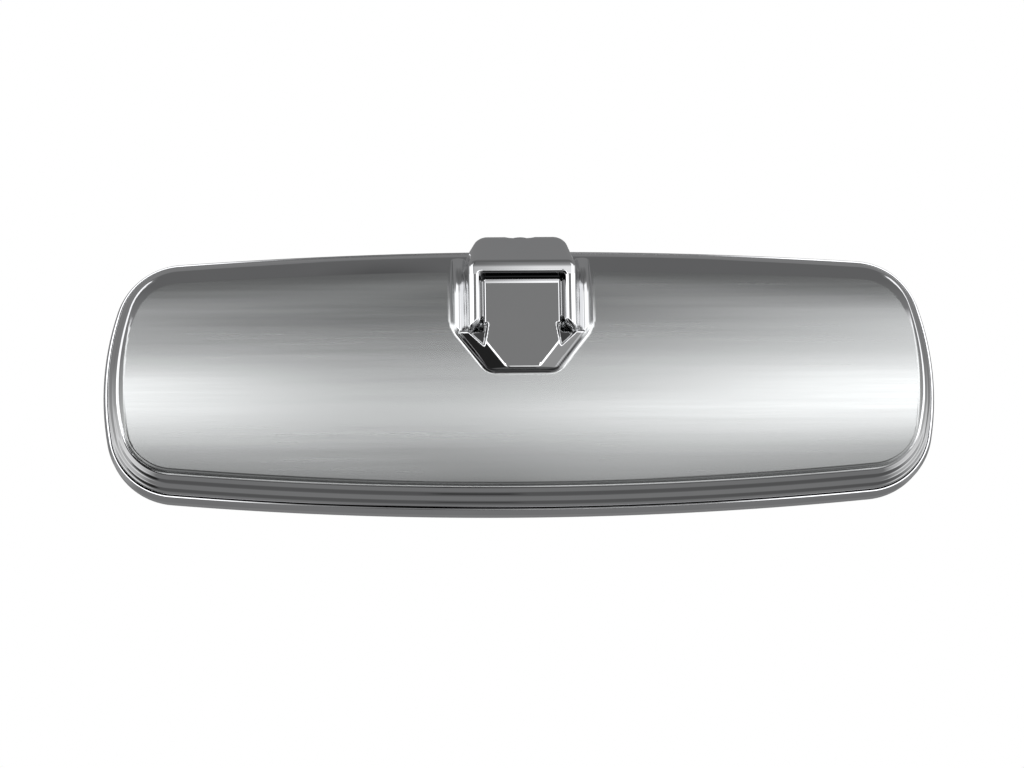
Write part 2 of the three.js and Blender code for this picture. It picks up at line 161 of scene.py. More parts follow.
# The boss, as heights above the back of the glass, distances in x, and places in z.
PLATE_HEIGHT = 23.5
PLATE_HALF_WIDTH = 10.5
PLATE_LOW = -0.4
PLATE_HIGH = 26.0
RECESS_BELOW = 1.2
POCKET_DEPTH = 1.9
RECESS_HALF_WIDTH = 10.6
RECESS_TOP = 24.1
HOOD_TOP = 37.92
HOOD_FRONT = 27.4
HOOD_HALF_WIDTH = 14.9
HOOD_SHOULDER = 27.0
LEG_X = 11.7
LEG_LOW = 12.5
BROW_Z = 26.22
BROW_HEIGHT = 21.81
BROW_RADIUS = 5.5
RIDGE_X = 16.7
RIDGE_RADIUS = 1.7
RIDGE_HEIGHT = 21.6
RIDGE_LOW = 8.0
RIDGE_HIGH = 32.0


def beyond_diagonal(across, z):
    """How far a point lies outside the cut-off lower corners of the boss."""
    return 0.788 * across - 0.615 * z - 7.3


def recess(x, z, h):
    """The opening in the hood that the plate lies in."""
    lift = h - PLATE_HEIGHT
    return round_max(np.abs(x) - RECESS_HALF_WIDTH - 0.25 * lift, z - RECESS_TOP - 0.24 * lift, 1.0)


def hood(x, z, h):
    """Hood over the ball, with a leg down each side of the plate."""
    across = np.abs(x)
    # Its flat faces, each below 0 on the inside: the slope down from the top, the brow that the slope
    # rolls over into the front, the foot of each leg, the sides, and the face towards the bezel.
    slope = 0.774 * (z - 37.5) + 0.633 * (h - 16.0)
    tilt = np.clip(np.arctan2(z - BROW_Z, h - BROW_HEIGHT), math.radians(3), math.radians(28))
    brow = np.sin(tilt) * (z - BROW_Z) + np.cos(tilt) * (h - BROW_HEIGHT) - BROW_RADIUS
    brow = np.maximum(brow, h - HOOD_FRONT)
    foot = -0.66 * (across - LEG_X) - 0.75 * (z - LEG_LOW) - 0.2 * (h - 22.0)
    side = across - HOOD_HALF_WIDTH + 0.38 * np.maximum(z - HOOD_SHOULDER, 0.0) + 0.12 * (h - 22.0)
    under = 0.49 * (z - 34.6) - 0.872 * (h - 5.9)
    roof = round_max(round_max(z - HOOD_TOP, slope, 2.0), brow, 0.6)
    rise = share(z, HOOD_SHOULDER, HOOD_SHOULDER + 6.0)
    shoulder = 1.3 + 1.6 * rise * rise * (3 - 2 * rise)
    body = round_max(roof, side, shoulder)
    body = round_max(round_max(body, foot, 1.4), under, 0.4)
    well = round_max(recess(x, z, h), PLATE_HEIGHT - RECESS_BELOW - h, 0.4)
    return round_max(body, -well, 0.7)


def pocket(x, z):
    """The kite-shaped pocket below the end of each leg."""
    across = np.abs(x)
    inner = 9.4 + 0.16 * (10.9 - z) - across
    outer = 0.684 * (across - 10.2) - 0.729 * (z - 6.0)
    return round_max(round_max(inner, outer, 0.5), z - 12.0, 0.5)


def plate_outline(x, z):
    """The edge of the plate, which widens below the legs and has its lower corners cut off."""
    across = np.abs(x)
    outline = round_min(across - PLATE_HALF_WIDTH, z - 10.2, 0.4)
    outline = round_max(round_max(outline, z - PLATE_HIGH, 0.4), PLATE_LOW - z, 0.9)
    return round_max(outline, beyond_diagonal(across, z), 0.9)


def plate(x, z, h):
    """The plate below the hood: flat in its middle, falling away to its cut corners."""
    corner = np.maximum(beyond_diagonal(np.abs(x), z) + 4.3, 0.0)
    fall = np.where(corner < 1.0, 0.15 * corner**2, 0.3 * corner - 0.15)
    fall += 0.035 * np.maximum(z - 22.6, 0.0) ** 2
    body = round_max(plate_outline(x, z), h - PLATE_HEIGHT + fall, 0.75)
    sunk = round_max(pocket(x, z), PLATE_HEIGHT - POCKET_DEPTH - h, 0.4)
    return round_max(body, -sunk, 0.4)


def ridge(x, z, h):
    """The round ridge outside each leg, which sinks into the crown towards the top."""
    across = np.abs(x)
    crest = RIDGE_HEIGHT - 0.06 * (z - 10.0) - 0.05 * np.maximum(z - 21.0, 0.0) ** 2
    roll = np.hypot(across - RIDGE_X, np.maximum(h - crest + RIDGE_RADIUS, 0.0)) - RIDGE_RADIUS
    ends = round_max(beyond_diagonal(across, z), z - RIDGE_HIGH, 1.0)
    return round_max(round_max(roll, ends, 0.8), RIDGE_LOW - z, 0.8)


def boss(x, z, h):
    """Everything that stands on the crowned panel, in one pressing with it."""
    low = round_min(ridge(x, z, h), plate(x, z, h), 0.3)
    return round_min(low, hood(x, z, h), 0.4)


def shell(x, z, h):
    """The whole back. The fillet round the boss is tighter where it meets the rim."""
    fillet = 1.3 - 0.8 * share(z, 24.0, 31.0)
    return round_min(pan(x, z, h), boss(x, z, h), fillet)


# Each step of a ray goes most of the way that the field gives, so as not to pass the surface.
CAST_STEPS = 80
CAST_CAUTION = 0.9


def cast(field, start, direction, reach, level=0.0):
    """Distances along rays, from far out back towards their starts, to where a field reaches a level."""
    far = np.full(len(start), reach)
    for _ in range(CAST_STEPS):
        point = start + far[:, None] * direction
        far = far - CAST_CAUTION * (field(*point.T) - level)
    return far


def slope_of(field, points):
    """Unit outward normals of a field, in (x, z, h)."""
    nudge = 1e-3
    sides = []
    for axis in range(3):
        shift = np.zeros(3)
        shift[axis] = nudge
        sides.append(field(*(points + shift).T) - field(*(points - shift).T))
    normals = np.stack(sides, axis=1)
    return normals / np.linalg.norm(normals, axis=1, keepdims=True)


def placed(points):
    """Points in (x, z, h), in millimetres, as points of the row frame in metres."""
    x, z, h = np.asarray(points).T
    return np.stack([x * MM, RIM_Y - h * MM, MIDDLE_Z + z * MM], axis=1)


def turned(normals):
    """Directions in (x, z, h) as directions of the row frame."""
    x, z, h = np.asarray(normals).T
    return np.stack([x, -h, z], axis=1)


# The rim is cast along a fan of rays in each of its sections. The fan starts FAN_INSET inside the outline
# and slides inwards as it turns. The panel and the boss are cast along parallel rays.
FAN_INSET = 8.9
FAN_SLIDE = 7.5
FAN_HEIGHT = -0.1
FAN_REACH = 34.0
PANEL_REACH = 32.0


def arc_stations(arc, start, end, count, last=False):
    """Points on an arc, each with its outward direction: rows of (x, z, nx, nz)."""
    angles = np.linspace(start, end, count, endpoint=last)
    ways = np.stack([np.cos(angles), np.sin(angles)], axis=1)
    centre = np.array(arc[:2])
    return np.concatenate([centre + arc[2] * ways, ways], axis=1)


def right_stations(start_x, top, upper, side, lower, bottom):
    """Stations down the right half of the outline, from a point on the top, with steps for each arc."""
    start = math.acos(start_x / (TOP[2] - FAN_INSET))
    return np.concatenate([
        arc_stations(TOP, start, UPPER_END, top),
        arc_stations(UPPER, UPPER_END, UPPER_START, upper),
        arc_stations(SIDE, UPPER_START, LOWER_END, side),
        arc_stations(LOWER, LOWER_END, LOWER_START, lower),
        arc_stations(BOTTOM, LOWER_START, -math.pi / 2, bottom, last=True),
    ])


def ring_stations(window_x, steps):
    """Stations all the way round: first the window's columns, left to right, then clockwise."""
    reach = TOP[2] - FAN_INSET
    tilt = np.arccos(window_x / reach)
    ways = np.stack([np.cos(tilt), np.sin(tilt)], axis=1)
    window = np.concatenate([np.array(TOP[:2]) + TOP[2] * ways, ways], axis=1)
    right = right_stations(window_x[-1], *steps)[1:]
    left = right[:-1][::-1] * np.array([-1.0, 1.0, -1.0, 1.0])
    return np.concatenate([window, right, left])


def fan(stations, turn):
    """Rays from inside the rim, in each station's section: starts and directions in (x, z, h)."""
    inset = FAN_INSET + FAN_SLIDE * turn / (math.pi / 2)
    places = stations[:, None, :2] - stations[:, None, 2:] * inset[None, :, None]
    out = stations[:, None, 2:] * np.sin(turn)[None, :, None]
    up = np.broadcast_to(np.cos(turn)[None, :, None], out.shape[:2] + (1,))
    low = np.full(out.shape[:2] + (1,), FAN_HEIGHT)
    start = np.concatenate([places, low], axis=2)
    direction = np.concatenate([out, up], axis=2)
    return start, direction


def runs(*stretches):
    """Values that step evenly along each stretch, given as (start, end, number of steps)."""
    parts = [np.linspace(start, end, steps, endpoint=False) for start, end, steps in stretches]
    return np.append(np.concatenate(parts), stretches[-1][1])


# The window is a fine grid over the boss, finest where its edges run. Its columns are set lower by SAG,
# so that its top row follows the outline. Loose triangles fill the rest of the panel.
WINDOW_EDGE = 24.0
PLAIN_EDGE = 5.0
SIDE_COLUMNS = runs((PLAIN_EDGE, 19.0, 84), (19.0, WINDOW_EDGE, 11))
MIDDLE_COLUMNS = runs((-PLAIN_EDGE, PLAIN_EDGE, 12))[1:-1]
COLUMNS = np.concatenate([-SIDE_COLUMNS[::-1], MIDDLE_COLUMNS, SIDE_COLUMNS])
ROWS = HALF_HEIGHT - runs(
    (FAN_INSET, 14.0, 24),
    (14.0, 24.0, 20),
    (24.0, 33.0, 40),
    (33.0, 36.0, 6),
    (36.0, 39.6, 18),
    (39.6, 43.5, 8),
)
RING = ring_stations(COLUMNS, (16, 18, 12, 18, 18))
RING_EDGE = RING[:, :2] - RING[:, 2:] * FAN_INSET
SAG = ROWS[0] - RING_EDGE[: len(COLUMNS), 1]
WINDOW = np.stack([
    np.broadcast_to(COLUMNS, (len(ROWS), len(COLUMNS))),
    ROWS[:, None] - SAG[None, :],
], axis=2)

# The loose triangles: how far apart their corners are, how far out they go, and how far they keep from
# the window and from the rim.
FILL_STEP = 2.4
FILL_HALF_WIDTH = 108.0
FILL_HALF_HEIGHT = 33.0
FILL_GAP = 1.6
FILL_EDGE_GAP = 1.2


def panel_fill(window):
    """Triangles over the part of the panel that is neither window nor rim, as points in (x, z)."""
    loop = np.concatenate([
        window[:, -1],
        window[-1, -2:0:-1],
        window[::-1, 0],
        RING_EDGE[len(COLUMNS):][::-1],
    ])
    spots = []
    for row, z in enumerate(np.arange(-FILL_HALF_HEIGHT, FILL_HALF_HEIGHT, FILL_STEP)):
        for x in np.arange(-FILL_HALF_WIDTH, FILL_HALF_WIDTH, 2 * FILL_STEP) + (row % 2) * FILL_STEP:
            in_window = abs(x) < WINDOW_EDGE + FILL_GAP and z > ROWS[-1] - FILL_GAP
            if inset_of(x, z) > FAN_INSET + FILL_EDGE_GAP and not in_window:
                spots.append((x, z))
    points = np.concatenate([loop, np.array(spots)])
    border = list(range(len(loop)))
    edges = list(zip(border, border[1:] + border[:1]))
    found = delaunay_2d_cdt([Vector(point) for point in points], edges, [border], 1, 1e-6)
    corners = np.array([tuple(vertex) for vertex in found[0]])
    triangles = []
    for face in found[2]:
        a, b, c = corners[list(face)]
        turn = (b[0] - a[0]) * (c[1] - a[1]) - (b[1] - a[1]) * (c[0] - a[0])
        triangles.append(tuple(face) if turn > 0 else tuple(face[::-1]))
    return corners, triangles


def grid_faces(height, width, start, around=False):
    """Faces between the rows of a grid of points; around closes it from its last column to its first."""
    faces = []
    for row in range(height - 1):
        for column in range(width if around else width - 1):
            following = (column + 1) % width
            low = start + row * width
            high = low + width
            faces.append((low + column, high + column, high + following, low + following))
    return faces


def skin(level, turns, row_stride):
    """One face of the sheet: its points in (x, z, h), and faces that look to the bright side."""
    window = WINDOW[::row_stride]
    fill, triangles = panel_fill(window)
    flat = np.concatenate([window.reshape(-1, 2), fill])
    start = np.concatenate([flat, np.full((len(flat), 1), FAN_HEIGHT)], axis=1)
    start[:, 2] += cast(shell, start, np.array([[0.0, 0.0, 1.0]]), PANEL_REACH, level)
    points = [start]
    first, direction = fan(RING, turns)
    first = first.transpose(1, 0, 2).reshape(-1, 3)
    direction = direction.transpose(1, 0, 2).reshape(-1, 3)
    far = cast(shell, first, direction, FAN_REACH, level)
    points.append(first + far[:, None] * direction)
    count = len(window) * len(COLUMNS)
    faces = grid_faces(len(window), len(COLUMNS), 0)
    faces += [tuple(count + corner for corner in face) for face in triangles]
    band = grid_faces(len(turns), len(RING), len(flat), around=True)
    faces += [face[::-1] for face in band]
    return np.concatenate(points), faces


def joined(parts):
    """Skins as one list of points and faces, and where each skin's points begin."""
    points = np.concatenate([part[0] for part in parts])
    starts = np.cumsum([0] + [len(part[0]) for part in parts])
    faces = []
    for start, part in zip(starts, parts):
        faces += [tuple(start + corner for corner in face) for face in part[1]]
    return points, faces, starts


def mesh_object(name, points, faces):
    """A new mesh object from points in metres, with doubled points merged."""
    mesh = bpy.data.meshes.new(name)
    mesh.from_pydata([tuple(point) for point in points], [], faces)
    shape = bmesh.new()
    shape.from_mesh(mesh)
    bmesh.ops.remove_doubles(shape, verts=shape.verts, dist=2e-6)
    shape.to_mesh(mesh)
    shape.free()
    thing = bpy.data.objects.new(name, mesh)
    bpy.context.scene.collection.objects.link(thing)
    return thing


def even_turns(count):
    """Turns of the fan that step evenly along the section of the rim at the bottom."""
    trial = np.linspace(0.0, math.pi / 2, 1500)
    station = arc_stations(BOTTOM, -math.pi / 2, 0.0, 2)[:1]
    start, direction = fan(station, trial)
    far = cast(pan, start[0], direction[0], PANEL_REACH)
    points = start[0] + far[:, None] * direction[0]
    steps = np.linalg.norm(np.diff(points, axis=0), axis=1)
    length = np.concatenate([[0.0], np.cumsum(steps)])
    return np.interp(np.linspace(0.0, length[-1], count), length, trial)


# The slot lets the head tilt about the ball. The cutter reaches below and above the top of the hood.
SLOT_HALF_WIDTH = 4.1
SLOT_HALF_LENGTH = 4.5
SLOT_CORNER = 2.6
CUTTER_BELOW = 2.6
CUTTER_ABOVE = 4.0


def slot_cutter():
    """A bar with round corners that cuts the stud's slot through the top of the hood."""
    stud_low, stud_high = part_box("ball_stud")
    middle = (stud_low[1] + stud_high[1]) / 2
    outline = []
    for turn in np.linspace(0, 2 * math.pi, 49)[:-1]:
        x = math.copysign(SLOT_HALF_WIDTH - SLOT_CORNER, math.cos(turn)) + SLOT_CORNER * math.cos(turn)
        y = math.copysign(SLOT_HALF_LENGTH - SLOT_CORNER, math.sin(turn)) + SLOT_CORNER * math.sin(turn)
        outline.append((x * MM, middle + y * MM))
    low = MIDDLE_Z + (HALF_HEIGHT - CUTTER_BELOW) * MM
    high = MIDDLE_Z + (HALF_HEIGHT + CUTTER_ABOVE) * MM
    count = len(outline)
    points = [(x, y, low) for x, y in outline] + [(x, y, high) for x, y in outline]
    faces = [tuple(range(count))[::-1], tuple(range(count, 2 * count))]
    for place in range(count):
        following = (place + 1) % count
        faces.append((place, following, count + following, count + place))
    return mesh_object("slot_cutter", points, faces)


def cut(thing, cutter):
    """Cuts one object by another and throws the cutter away."""
    modifier = thing.modifiers.new("cut", "BOOLEAN")
    modifier.object = cutter
    modifier.solver = "EXACT"
    bpy.context.view_layer.update()
    evaluated = thing.evaluated_get(bpy.context.evaluated_depsgraph_get())
    result = bpy.data.meshes.new_from_object(evaluated)
    thing.modifiers.clear()
    thing.data = result
    bpy.data.objects.remove(cutter)


def in_rim_frame(mesh):
    """A mesh's points as (x, z, h) in millimetres."""
    flat = np.empty(len(mesh.vertices) * 3)
    mesh.vertices.foreach_get("co", flat)
    x, y, z = flat.reshape(-1, 3).T
    return np.stack([x / MM, (z - MIDDLE_Z) / MM, (RIM_Y - y) / MM], axis=1)


LEAST_AGREEMENT = 0.35


def give_normals(mesh, normals):
    """Exact normals on every corner whose face agrees with them; other faces keep their own."""
    mesh.polygons.foreach_set("use_smooth", [True] * len(mesh.polygons))
    corner_points = np.empty(len(mesh.loops), dtype=np.int64)
    mesh.loops.foreach_get("vertex_index", corner_points)
    face_normals = np.empty(len(mesh.polygons) * 3)
    mesh.polygons.foreach_get("normal", face_normals)
    sizes = np.empty(len(mesh.polygons), dtype=np.int64)
    mesh.polygons.foreach_get("loop_total", sizes)
    faces = np.repeat(face_normals.reshape(-1, 3), sizes, axis=0)
    wanted = normals[corner_points]
    agrees = np.einsum("ij,ij->i", faces, wanted) > LEAST_AGREEMENT
    mesh.normals_split_custom_set(np.where(agrees[:, None], wanted, faces).tolist())


def brushed_share(x, z, h):
    """1 on the brushed panel, falling to 0 at the polished boss and at the polished rim."""
    polished_edge = 5.5 + 2.4 * share(z, 0.0, 28.0)
    return share(boss(x, z, h), 0.5, 1.2) * share(inset_of(x, z), polished_edge, polished_edge + 0.4)


def painted_dark_reflection_share(x, z, h):
    """1 where the steel is painted dark: the walls of the recess, the pockets, the foot of the plate.

    It stands in for the dark things that these corners reflect on the real piece.
    """
    walls = 1.0 - share(np.abs(recess(x, z, h)), 0.1, 0.35)
    walls *= share(z, 12.0, 13.0) * share(h, HOOD_FRONT - 0.5, HOOD_FRONT - 0.9)
    walls *= share(h, PLATE_HEIGHT - 0.3, PLATE_HEIGHT)
    pockets = 0.75 * share(-pocket(x, z), 0.2, 0.5) * share(h, PLATE_HEIGHT - 0.5, PLATE_HEIGHT - 0.9)
    foot = 1.0 - share(np.abs(plate_outline(x, z)), 0.1, 0.35)
    foot *= share(z, 9.0, 8.0) * share(h, PLATE_HEIGHT - 0.8, PLATE_HEIGHT - 1.3)
    return np.maximum(np.maximum(walls, pockets), foot)


def add_mask(mesh, name, values):
    """A value at each point, which a material can read by name."""
    mask = mesh.attributes.new(name, "FLOAT", "POINT")
    mask.data.foreach_set("value", values)


RIM_ROWS = 84
INNER_STRIDE = 4


def back_shell():
    """The pressing: its bright face, a coarser face inside it, and the edge of the sheet between them."""
    turns = even_turns(RIM_ROWS)
    inner_turns = turns[[*range(0, len(turns) - 1, INNER_STRIDE), -1]]
    outer = skin(0.0, turns, 1)
    inner = skin(-SHELL_SHEET, inner_turns, INNER_STRIDE)
    inner = (inner[0], [face[::-1] for face in inner[1]])
    points, faces, starts = joined([outer, inner])
    outer_edge = starts[1] - len(RING)
    inner_edge = starts[2] - len(RING)
    for place in range(len(RING)):
        following = (place + 1) % len(RING)
        outer_pair = (outer_edge + place, outer_edge + following)
        faces.append(outer_pair + (inner_edge + following, inner_edge + place))
    thing = mesh_object("back_shell_pressing", placed(points), faces)
    cut(thing, slot_cutter())
    spots = in_rim_frame(thing.data)
    outward = slope_of(shell, spots)
    level = shell(*spots.T)
    outside = level > -SHELL_SHEET / 2
    give_normals(thing.data, turned(np.where(outside[:, None], outward, -outward)))
    add_mask(thing.data, "brushed", np.where(outside, brushed_share(*spots.T), 0.0))
    # This mask marks where the steel gets a painted dark reflection and painted shade: the recess walls,
    # the pockets and the plate's foot are painted near black.
    add_mask(thing.data, "grime", np.where(outside, painted_dark_reflection_share(*spots.T), 0.0))
    return thing


class Wire:
    """A value in a material. Sums and products of wires make the Math nodes for them."""

    def __init__(self, tree, socket):
        self.tree = tree
        self.socket = socket

    def maths(self, operation, other=0.0, swap=False):
        """One Math node of this wire and another wire or a number, which comes first with swap."""
        node = self.tree.nodes.new("ShaderNodeMath")
        node.operation = operation
        terms = (other, self) if swap else (self, other)
        for place, term in enumerate(terms):
            if isinstance(term, Wire):
                self.tree.links.new(term.socket, node.inputs[place])
            else:
                node.inputs[place].default_value = term
        return Wire(self.tree, node.outputs[0])

    def __add__(self, other):
        return self.maths("ADD", other)

    def __radd__(self, other):
        return self.maths("ADD", other, True)

    def __sub__(self, other):
        return self.maths("SUBTRACT", other)

    def __rsub__(self, other):
        return self.maths("SUBTRACT", other, True)

    def __mul__(self, other):
        return self.maths("MULTIPLY", other)

    def __rmul__(self, other):
        return self.maths("MULTIPLY", other, True)

    def __truediv__(self, other):
        return self.maths("DIVIDE", other)

    def least(self, other):
        """The smaller of the two."""
        return self.maths("MINIMUM", other)

    def most(self, other):
        """The larger of the two."""
        return self.maths("MAXIMUM", other)

    def within(self, low, high):
        """0 below low, 1 above high, and a straight rise between."""
        return ((self - low) / (high - low)).most(0.0).least(1.0)


class Nodes:
    """The nodes of one material or world."""

    def __init__(self, tree):
        self.tree = tree
        tree.nodes.clear()

    def add(self, kind, settings=None, sockets=None, out=0):
        """A node: its settings first, then its sockets' values or wires. Gives the wire of one output."""
        node = self.tree.nodes.new(kind)
        for name, value in (settings or {}).items():
            if name == "stops":
                ramp = node.color_ramp.elements
                while len(ramp) < len(value):
                    ramp.new(1.0)
                for element, (position, color) in zip(ramp, value):
                    element.position = position
                    element.color = color
            else:
                setattr(node, name, value)
        for name, value in (sockets or {}).items():
            if isinstance(value, Wire):
                self.tree.links.new(value.socket, node.inputs[name])
            else:
                node.inputs[name].default_value = value
        return Wire(self.tree, node.outputs[out]) if len(node.outputs) else None

    def spot(self, scale=(1, 1, 1)):
        """The place on the object, in metres, stretched by a scale."""
        place = self.add("ShaderNodeTexCoord", out="Object")
        return self.add("ShaderNodeVectorMath", {"operation": "MULTIPLY"}, {0: place, 1: scale})

    def noise(self, place, scale, detail, roughness):
        """Soft random variation, from about 0.2 to about 0.8."""
        return self.add("ShaderNodeTexNoise", None, {
            "Vector": place,
            "Scale": scale,
            "Detail": detail,
            "Roughness": roughness,
        })

    def mix(self, amount, a, b):
        """From colour a to colour b."""
        return self.add("ShaderNodeMix", {"data_type": "RGBA"}, {0: amount, 6: a, 7: b}, out=2)

    def bump(self, height, strength, distance):
        """The normal of a surface raised by a height."""
        return self.add("ShaderNodeBump", None, {
            "Height": height,
            "Strength": strength,
            "Distance": distance,
        })

    def surface(self, **sockets):
        """The Principled shader on the output. Socket names are written with underscores for spaces."""
        values = {name.replace("_", " "): value for name, value in sockets.items()}
        shader = self.add("ShaderNodeBsdfPrincipled", None, values)
        self.add("ShaderNodeOutputMaterial", None, {"Surface": shader})


def new_material(name):
    """A material without nodes, and what adds them to it."""
    material = bpy.data.materials.new(name)
    material.use_nodes = True
    return material, Nodes(material.node_tree)


def stainless():
    """Stainless steel: brushed along X where the panel is, polished elsewhere."""
    material, nodes = new_material("stainless_back")
    brushed = nodes.add("ShaderNodeAttribute", {"attribute_name": "brushed"}, out="Fac")
    grain = nodes.noise(nodes.spot((14.0, 900.0, 900.0)), 1.0, 3.0, 0.7)
    streak = nodes.noise(nodes.spot((3.0, 160.0, 160.0)), 1.0, 2.0, 0.6)
    smear = nodes.noise(nodes.spot(), 38.0, 3.0, 0.6)
    satin_roughness = 0.175 + 0.1 * grain + 0.06 * streak
    polish_roughness = 0.022 + 0.03 * smear.within(0.45, 0.75)
    bright = nodes.mix(streak.within(0.3, 0.7), (0.70, 0.715, 0.71, 1), (0.755, 0.77, 0.765, 1))
    polished = nodes.mix(smear.within(0.3, 0.8), (0.76, 0.765, 0.77, 1), (0.72, 0.725, 0.735, 1))
    # Where this mask is 1 the steel is painted near black: a painted dark reflection and painted shade in
    # the boss's recess, its pockets and the foot of the plate.
    grime = nodes.add("ShaderNodeAttribute", {"attribute_name": "grime"}, out="Fac")
    nodes.surface(
        Base_Color=nodes.mix(grime, nodes.mix(brushed, polished, bright), (0.012, 0.012, 0.014, 1)),
        Metallic=1.0,
        Roughness=brushed * satin_roughness + (1.0 - brushed) * polish_roughness,
        Anisotropic=0.75,
        Anisotropic_Rotation=0.25,
        Normal=nodes.bump(grain * brushed, 0.12, 0.00004),
    )
    return material


pressing = back_shell()
pressing.data.materials.append(stainless())
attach(pressing, "head")
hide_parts("back_shell")

# ---- bezel ----------------------------------------------------------------------------------------
# The outermost step of the rim is a ring of chromed strip. It is rolled over at the front to hold the
# glass by its edge, and its plain skirt fits over the skirt of the back, where the spring clips grip.


CORNER_STEPS = 7


def rounded(corners):
    """A closed outline from corners given as (inset, height, radius), each rounded by an arc."""
    outline = []
    count = len(corners)
    for place, (inset, height, radius) in enumerate(corners):
        here = np.array([inset, height])
        before = np.array(corners[place - 1][:2]) - here
        after = np.array(corners[(place + 1) % count][:2]) - here
        before /= np.linalg.norm(before)
        after /= np.linalg.norm(after)
        half = math.acos(np.clip(before @ after, -1, 1)) / 2
        bisector = (before + after) / np.linalg.norm(before + after)
        centre = here + bisector * radius / math.sin(half)
        first = here + before * radius / math.tan(half) - centre
        last = here + after * radius / math.tan(half) - centre
        for part in np.linspace(0, 1, CORNER_STEPS):
            way = first * (1 - part) + last * part
            outline.append(centre + way / np.linalg.norm(way) * radius)
    return outline


HOOP_RIGHT = right_stations(0.0, 24, 20, 14, 20, 26)
HOOP = np.concatenate([HOOP_RIGHT, HOOP_RIGHT[1:-1][::-1] * np.array([-1.0, 1.0, -1.0, 1.0])])


def rings(outline):
    """An outline, as (inset, height), carried once round the head: its points, ring by ring."""
    points = []
    for inset, height in outline:
        ring = HOOP[:, :2] - HOOP[:, 2:] * inset
        points.append(np.concatenate([ring, np.full((len(ring), 1), height)], axis=1))
    return placed(np.concatenate(points))


def tube_faces(count, width, closed):
    """Faces between a number of rings of points, and from the last ring to the first if closed."""
    faces = grid_faces(count + 1 if closed else count, width, 0, around=True)
    return [tuple(corner % (count * width) for corner in face) for face in faces]


def soften(thing, smooth_angle):
    """Outward faces, smooth between them except at sharp edges, with flat faces kept flat."""
    shape = bmesh.new()
    shape.from_mesh(thing.data)
    bmesh.ops.recalc_face_normals(shape, faces=shape.faces)
    for face in shape.faces:
        face.smooth = True
    for edge in shape.edges:
        edge.smooth = edge.calc_face_angle(0.0) < math.radians(smooth_angle)
    shape.to_mesh(thing.data)
    shape.free()
    modifier = thing.modifiers.new("flat faces", "WEIGHTED_NORMAL")
    modifier.keep_sharp = True


def hoop(name, outline):
    """A closed outline, as (inset, height), swept once round the head."""
    thing = mesh_object(name, rings(outline), tube_faces(len(outline), len(HOOP), closed=True))
    soften(thing, 40)
    return thing


def chrome(name, tint, roughness):
    """Plating with faint smears, where it is a little darker and duller."""
    material, nodes = new_material(name)
    smear = nodes.noise(nodes.spot(), 45.0, 3.0, 0.6)
    smeared_tint = tuple(0.93 * part for part in tint[:3]) + (1,)
    nodes.surface(
        Base_Color=nodes.mix(smear.within(0.3, 0.8), tint, smeared_tint),
        Metallic=1.0,
        Roughness=roughness + 0.03 * smear.within(0.45, 0.8),
    )
    return material


BEZEL_BACK = 5.5
BEZEL_SHEET = 0.9
BEZEL_WALL = 1.2
BEZEL_LIP = 4.2
BEZEL_TAPER = 3.5
bezel = hoop("bezel_ring", rounded([
    (0.0, BEZEL_FRONT, 1.5),
    (0.0, BEZEL_BACK - BEZEL_TAPER, 2.0),
    (0.85, BEZEL_BACK, 0.15),
    (BEZEL_WALL + 0.05, BEZEL_BACK, 0.05),
    (BEZEL_WALL, BEZEL_FRONT + BEZEL_SHEET, 0.2),
    (BEZEL_LIP, BEZEL_FRONT + BEZEL_SHEET, 0.1),
    (BEZEL_LIP, BEZEL_FRONT, 0.6),
]))
bezel.data.materials.append(chrome("bezel_chrome", (0.76, 0.765, 0.775, 1), 0.03))
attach(bezel, "head")
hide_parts("bezel_frame")

# ---- glass and gasket -----------------------------------------------------------------------------
# The mirror is flat glass, silvered at the back, with a ground edge. A black rubber gasket lies round
# it inside the lip of the bezel, so that the glass neither rattles nor touches the metal.


def rubber():
    """Matt black rubber with fine pores and a grey bloom."""
    material, nodes = new_material("black_rubber")
    bloom = nodes.noise(nodes.spot(), 260.0, 4.0, 0.65)
    pores = nodes.noise(nodes.spot(), 2600.0, 2.0, 0.6)
    nodes.surface(
        Base_Color=nodes.mix(bloom.within(0.45, 0.8), (0.012, 0.012, 0.013, 1), (0.045, 0.045, 0.047, 1)),
        Roughness=0.5 + 0.3 * bloom,
        Normal=nodes.bump(pores, 0.35, 0.00005),
    )
    return material


def silvered_glass():
    """The mirror's face, with the marks of a wiping cloth and a few dull specks."""
    material, nodes = new_material("silvered_glass")
    wipe = nodes.noise(nodes.spot((1.0, 1.0, 3.5)), 14.0, 4.0, 0.6)
    specks = nodes.noise(nodes.spot(), 900.0, 1.0, 0.5)
    nodes.surface(
        Base_Color=nodes.mix(wipe.within(0.35, 0.75), (0.87, 0.895, 0.9, 1), (0.84, 0.87, 0.87, 1)),
        Metallic=1.0,
        Roughness=0.012 + 0.035 * wipe.within(0.5, 0.8) + 0.08 * specks.within(0.74, 0.8),
    )
    return material


GLASS_FRONT = -3.0
GLASS_INSET = 2.6
GASKET_FRONT = GLASS_FRONT - 0.02
GASKET_BACK = -0.55
GASKET_OUTSIDE = 1.55
GASKET_INSIDE = 2.28
black_rubber = rubber()
gasket = hoop("gasket_ring", rounded([
    (GASKET_OUTSIDE, GASKET_FRONT, 0.25),
    (GASKET_OUTSIDE, GASKET_BACK, 0.25),
    (GASKET_INSIDE, GASKET_BACK, 0.25),
    (GASKET_INSIDE, GASKET_FRONT, 0.25),
]))
gasket.data.materials.append(black_rubber)
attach(gasket, "head")
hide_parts("glass_gasket")


def pane(name, edge):
    """A flat sheet with its edge given as (inset, height) from the front face to the back face."""
    points = rings(edge)
    width = len(HOOP)
    faces = [tuple(range(width)), tuple(range(len(points) - width, len(points)))]
    faces += tube_faces(len(edge), width, closed=False)
    thing = mesh_object(name, points, faces)
    soften(thing, 25)
    return thing


